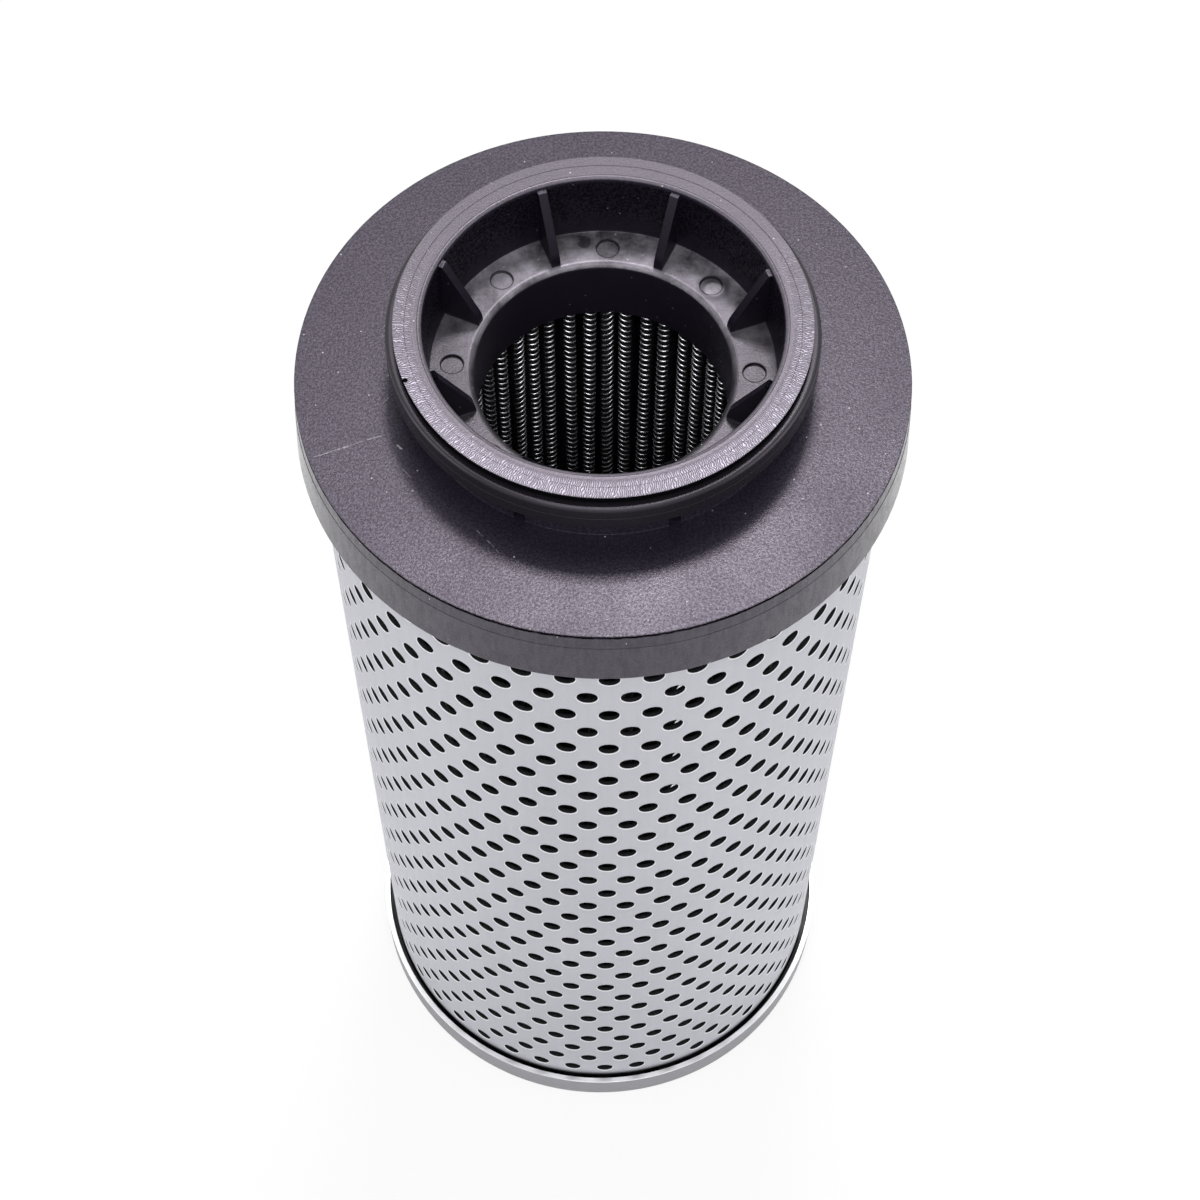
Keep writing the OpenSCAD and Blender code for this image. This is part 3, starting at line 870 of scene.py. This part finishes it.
class FILTER_OT_stage(bpy.types.Operator):
    """Set up the camera of the photograph, soft light, and a plain white floor"""

    bl_idname = "filter_element.stage"
    bl_label = "Set the stage"

    def execute(self, context):
        s = context.scene.filter_stage
        forward = Vector((math.sin(s.yaw) * math.cos(s.pitch), math.cos(s.yaw) * math.cos(s.pitch),
                          -math.sin(s.pitch)))
        right = forward.cross(Vector((0, 0, 1))).normalized()
        up = right.cross(forward)
        level_right = right * math.cos(s.roll) + up * math.sin(s.roll)
        level_up = up * math.cos(s.roll) - right * math.sin(s.roll)
        lens = bpy.data.cameras.new("camera")
        lens.lens = s.lens
        lens.sensor_width = 36
        lens.clip_start = 0.01
        lens.clip_end = 20
        camera = bpy.data.objects.new("camera", lens)
        turned = Matrix((level_right, level_up, -forward)).transposed().to_4x4()
        camera.matrix_world = Matrix.Translation((0, -s.distance_back, s.height)) @ turned
        context.scene.collection.objects.link(camera)
        context.scene.camera = camera
        context.scene.view_settings.view_transform = "Standard"

        for name, place, aim, wide, tall, power in LAMPS:
            self.lamp(context, name, place, (0, 0, aim), wide, tall, power)
        self.surround(context)
        self.floor(context, s)
        return {"FINISHED"}

    def lamp(self, context, name, place, target, wide, tall, power):
        light = bpy.data.lights.new(name, "AREA")
        light.shape = "RECTANGLE"
        light.size = wide
        light.size_y = tall
        light.energy = power
        lamp = bpy.data.objects.new(name, light)
        lamp.location = place
        lamp.rotation_mode = "QUATERNION"
        lamp.rotation_quaternion = (Vector(target) - Vector(place)).to_track_quat("-Z", "Y")
        context.scene.collection.objects.link(lamp)

    def surround(self, context):
        """A soft grey dome for light, and white where the camera or a reflection sees it."""
        world = bpy.data.worlds.new("surround")
        g = Graph(world)
        sight = g.add("ShaderNodeLightPath", {}, {}, "Is Camera Ray")
        seen = sight.least(sight.other("Is Glossy Ray")).least(sight.other("Is Transmission Ray"))
        dim = g.add("ShaderNodeBackground", {}, {"Color": (1, 1, 1, 1), "Strength": 0.4})
        white = g.add("ShaderNodeBackground", {}, {"Color": (1, 1, 1, 1), "Strength": 1.0})
        choice = g.add("ShaderNodeMixShader", {}, {0: seen, 1: dim, 2: white})
        g.add("ShaderNodeOutputWorld", {}, {"Surface": choice})
        context.scene.world = world

    def floor(self, context, s):
        """A plain floor under the foot. The camera sees it nearly white, with the element's soft shadow."""
        f = Finish("plain_floor")
        sight = f.add("ShaderNodeLightPath", {}, {}, "Is Camera Ray")
        paper = f.add("ShaderNodeBsdfDiffuse", {}, {"Color": four(s.floor)})
        glow = f.add("ShaderNodeEmission", {}, {"Color": (1, 1, 1, 1), "Strength": 1.0})
        mixed = f.add("ShaderNodeMixShader", {}, {0: sight * 0.85, 1: paper, 2: glow})
        f.add("ShaderNodeOutputMaterial", {}, {"Surface": mixed})
        reach = 3.0
        corners = [(-reach, -reach, 0), (reach, -reach, 0), (reach, reach, 0), (-reach, reach, 0)]
        mesh = bpy.data.meshes.new("floor")
        mesh.from_pydata(corners, [], [(0, 1, 2, 3)])
        mesh.materials.append(f.material)
        floor = bpy.data.objects.new("floor", mesh)
        context.scene.collection.objects.link(floor)


class FILTER_OT_tube(bpy.types.Operator):
    """Roll the perforated tube with rounded, punched holes"""

    bl_idname = "filter_element.tube"
    bl_label = "Punch the tube"

    def execute(self, context):
        s = context.scene.filter_tube
        points, faces, normals = punched_tube(s, TUBE_LOW.z, TUBE_HIGH.z)
        piece = make_piece("punched_tube", points, faces, tube_material(s), normals)
        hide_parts("perforated_tube")
        points, faces = punch_burrs(s, TUBE_LOW.z, TUBE_HIGH.z)
        nibs = make_piece("punch_burrs", points, faces, piece.data.materials[0])
        nibs.data.polygons.foreach_set("use_smooth", np.zeros(len(faces), bool))
        return {"FINISHED"}


class FILTER_OT_pack(bpy.types.Operator):
    """Fold the five layers of the pleated pack"""

    bl_idname = "filter_element.pack"
    bl_label = "Fold the pack"

    def execute(self, context):
        s = context.scene.filter_pack
        felt = felt_material("fleece_felt", FLEECE_WHITE)
        medium = felt_material("glass_fibre_felt", GLASS_WHITE)
        # Small gleams keep the cloth dark as painted shade, behind the wires and through the holes
        outer_cloth = mesh_material("outer_wire_cloth", s, 0.08)
        inner_cloth = mesh_material("inner_wire_cloth", s, 0.06)
        layers = (("outer_support_mesh", s.mesh, outer_cloth, "outer_wire_mesh"),
                  ("outer_fleece", s.fleece, felt, "fleece"),
                  ("filter_media", s.medium, medium, "glass_fibre_medium"),
                  ("inner_fleece", s.fleece, felt, "fleece"),
                  ("inner_support_mesh", s.mesh, inner_cloth, "inner_wire_mesh"))
        depth = 0.0
        for node, thick, material, slot in layers:
            points, faces, unfolded = pleated_layer(s, depth, depth + thick)
            piece = make_piece("folded_" + node, points, outward(points, faces), material, None, unfolded)
            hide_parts(node)
            depth += thick
        return {"FINISHED"}


class FILTER_OT_wires(bpy.types.Operator):
    """Lay the cross wires of the inner support mesh over its folds"""

    bl_idname = "filter_element.wires"
    bl_label = "Lay the wires"

    def execute(self, context):
        s = context.scene.filter_pack
        metal = wire_material(s)
        middle = (PACK_LOW.z + PACK_HIGH.z) / 2
        halves = (("cross_wires_lower", PACK_LOW.z, middle), ("cross_wires_upper", middle, PACK_HIGH.z))
        for name, low, high in halves:
            points, faces = wire_hoops(s, low, high)
            make_piece(name, points, faces, metal)
        return {"FINISHED"}


class FILTER_OT_cap(bpy.types.Operator):
    """Finish the moulded cap, its rubber seal and the potting"""

    bl_idname = "filter_element.cap"
    bl_label = "Finish the cap"

    def execute(self, context):
        s = context.scene.filter_cap
        cover("top_end_cap", cap_material(s))
        cover("neck_seal", seal_material(s))
        potting = potting_material(s)
        cover("top_potting", potting)
        cover("bottom_potting", potting)
        return {"FINISHED"}


class FILTER_OT_foot(bpy.types.Operator):
    """Finish the pressed foot"""

    bl_idname = "filter_element.foot"
    bl_label = "Finish the foot"

    def execute(self, context):
        cover("bottom_end_cap", foot_material(context.scene.filter_foot))
        return {"FINISHED"}


class FILTER_PT_panel(bpy.types.Panel):
    """Lists the steps that dress the filter element"""

    bl_idname = "FILTER_PT_panel"
    bl_label = "Filter element"
    bl_space_type = "VIEW_3D"
    bl_region_type = "UI"
    bl_category = "Filter"

    def draw(self, context):
        for group, step in STEPS:
            box = self.layout.box()
            settings = getattr(context.scene, group)
            for name in settings.__annotations__:
                box.prop(settings, name)
            box.operator(step)


STEPS = (("filter_stage", "filter_element.stage"),
         ("filter_tube", "filter_element.tube"),
         ("filter_pack", "filter_element.pack"),
         ("filter_pack", "filter_element.wires"),
         ("filter_cap", "filter_element.cap"),
         ("filter_foot", "filter_element.foot"))
GROUPS = {"filter_stage": StageSettings, "filter_tube": TubeSettings, "filter_pack": PackSettings,
          "filter_cap": CapSettings, "filter_foot": FootSettings}
CLASSES = tuple(GROUPS.values()) + (FILTER_OT_stage, FILTER_OT_tube, FILTER_OT_pack, FILTER_OT_wires,
                                    FILTER_OT_cap, FILTER_OT_foot, FILTER_PT_panel)


def register():
    for item in CLASSES:
        bpy.utils.register_class(item)
    for name, group in GROUPS.items():
        setattr(bpy.types.Scene, name, bpy.props.PointerProperty(type=group))


def unregister():
    for name in GROUPS:
        delattr(bpy.types.Scene, name)
    for item in reversed(CLASSES):
        bpy.utils.unregister_class(item)


def main():
    register()
    for _, step in STEPS:
        family, name = step.split(".")
        getattr(getattr(bpy.ops, family), name)()


if __name__ == "__main__":
    main()
